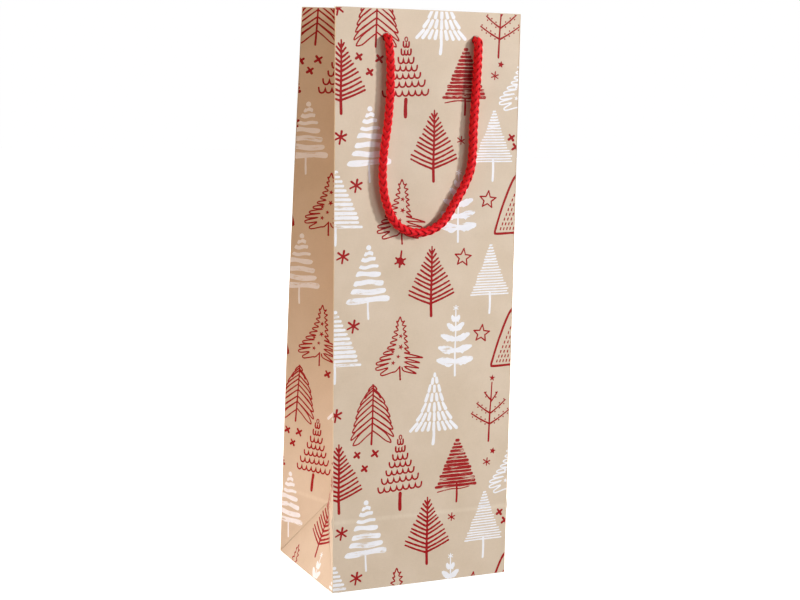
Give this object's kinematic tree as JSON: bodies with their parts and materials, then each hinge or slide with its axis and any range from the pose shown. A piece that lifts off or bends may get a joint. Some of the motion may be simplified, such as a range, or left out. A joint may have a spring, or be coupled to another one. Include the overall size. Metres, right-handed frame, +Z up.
{
  "type": "wine gift bag",
  "caption": "Tall kraft paper carrier bag for one bottle, with gusseted sides, block bottom, card-stiffened rim and two knotted rope handles.",
  "frame": {"origin": "middle of the base, on the underside that the bag stands on", "axes": "+Z up from base to rim, +X across the wide front, front panel facing -Y"},
  "size_m": [0.12, 0.092, 0.3599],
  "materials": {
    "kraft_print": "smooth kraft paper with red and white print",
    "kraft_inside": "plain kraft paper",
    "grey_card": "grey recycled card",
    "red_rope": "braided polyester rope"
  },
  "bodies": {
    "base": {"base_board": "grey_card", "bottom_flap_front": "kraft_print", "bottom_flap_back": "kraft_print", "bottom_flap_left": "kraft_inside", "bottom_flap_right": "kraft_inside"},
    "front_wall": {"front_panel": "kraft_print", "front_hem": "kraft_inside", "front_rim_card": "grey_card", "front_left_knot": "red_rope", "front_right_knot": "red_rope"},
    "back_wall": {"back_panel": "kraft_print", "back_hem": "kraft_inside", "back_rim_card": "grey_card", "side_seam_flap": "kraft_inside", "back_left_knot": "red_rope", "back_right_knot": "red_rope"},
    "left_front_half": {"left_front_gusset": "kraft_print", "left_front_gusset_hem": "kraft_inside"},
    "left_back_half": {"left_back_gusset": "kraft_print", "left_back_gusset_hem": "kraft_inside"},
    "right_front_half": {"right_front_gusset": "kraft_print", "right_front_gusset_hem": "kraft_inside"},
    "right_back_half": {"right_back_gusset": "kraft_print", "right_back_gusset_hem": "kraft_inside"},
    "left_foot_fold": {"left_base_fold": "kraft_print"},
    "right_foot_fold": {"right_base_fold": "kraft_print"},
    "front_loop": {"front_handle": "red_rope"},
    "back_loop": {"back_handle": "red_rope"}
  },
  "joints": [
    {"name": "mouth", "type": "hinge", "parent": "base", "child": "back_wall", "pos_m": [0, 0.045, 0], "axis": [1, 0, 0], "range_deg": [-3.2, 2]},
    {"name": "front_wall_lean", "type": "hinge", "parent": "base", "child": "front_wall", "pos_m": [0, -0.045, 0], "axis": [-1, 0, 0], "range_deg": [-0.96, 0.62]},
    {"name": "left_back_crease", "type": "hinge", "parent": "back_wall", "child": "left_back_half", "pos_m": [-0.06, 0.045, 0], "axis": [0, -0.0778, 0.997], "range_deg": [-22.08, 13.84]},
    {"name": "right_back_crease", "type": "hinge", "parent": "back_wall", "child": "right_back_half", "pos_m": [0.06, 0.045, 0], "axis": [0, 0.0778, -0.997], "range_deg": [-22.08, 13.84]},
    {"name": "left_front_crease", "type": "hinge", "parent": "front_wall", "child": "left_front_half", "pos_m": [-0.06, -0.045, 0], "axis": [0, -0.0222, -0.9998], "range_deg": [-22.08, 13.84]},
    {"name": "right_front_crease", "type": "hinge", "parent": "front_wall", "child": "right_front_half", "pos_m": [0.06, -0.045, 0], "axis": [0, 0.0222, 0.9998], "range_deg": [-22.08, 13.84]},
    {"name": "left_foot_crease", "type": "hinge", "parent": "base", "child": "left_foot_fold", "pos_m": [-0.06, 0, 0], "axis": [0, 1, 0], "range_deg": [-7.46, 4.7]},
    {"name": "right_foot_crease", "type": "hinge", "parent": "base", "child": "right_foot_fold", "pos_m": [0.06, 0, 0], "axis": [0, -1, 0], "range_deg": [-7.46, 4.7]},
    {"name": "front_handle_swing", "type": "hinge", "parent": "front_wall", "child": "front_loop", "pos_m": [0, -0.04088, 0.34292], "axis": [-1, 0, 0], "range_deg": [0, 180]},
    {"name": "back_handle_swing", "type": "hinge", "parent": "back_wall", "child": "back_loop", "pos_m": [0, 0.02181, 0.34196], "axis": [1, 0, 0], "range_deg": [0, 180]}
  ],
  "couplings": [
    {"joint": "front_wall_lean", "follows": "mouth", "ratio": 0.2857},
    {"joint": "left_back_crease", "follows": "mouth", "ratio": 6.87},
    {"joint": "right_back_crease", "follows": "mouth", "ratio": 6.87},
    {"joint": "left_front_crease", "follows": "mouth", "ratio": 6.87},
    {"joint": "right_front_crease", "follows": "mouth", "ratio": 6.87},
    {"joint": "left_foot_crease", "follows": "mouth", "ratio": 2.3},
    {"joint": "right_foot_crease", "follows": "mouth", "ratio": 2.3}
  ]
}
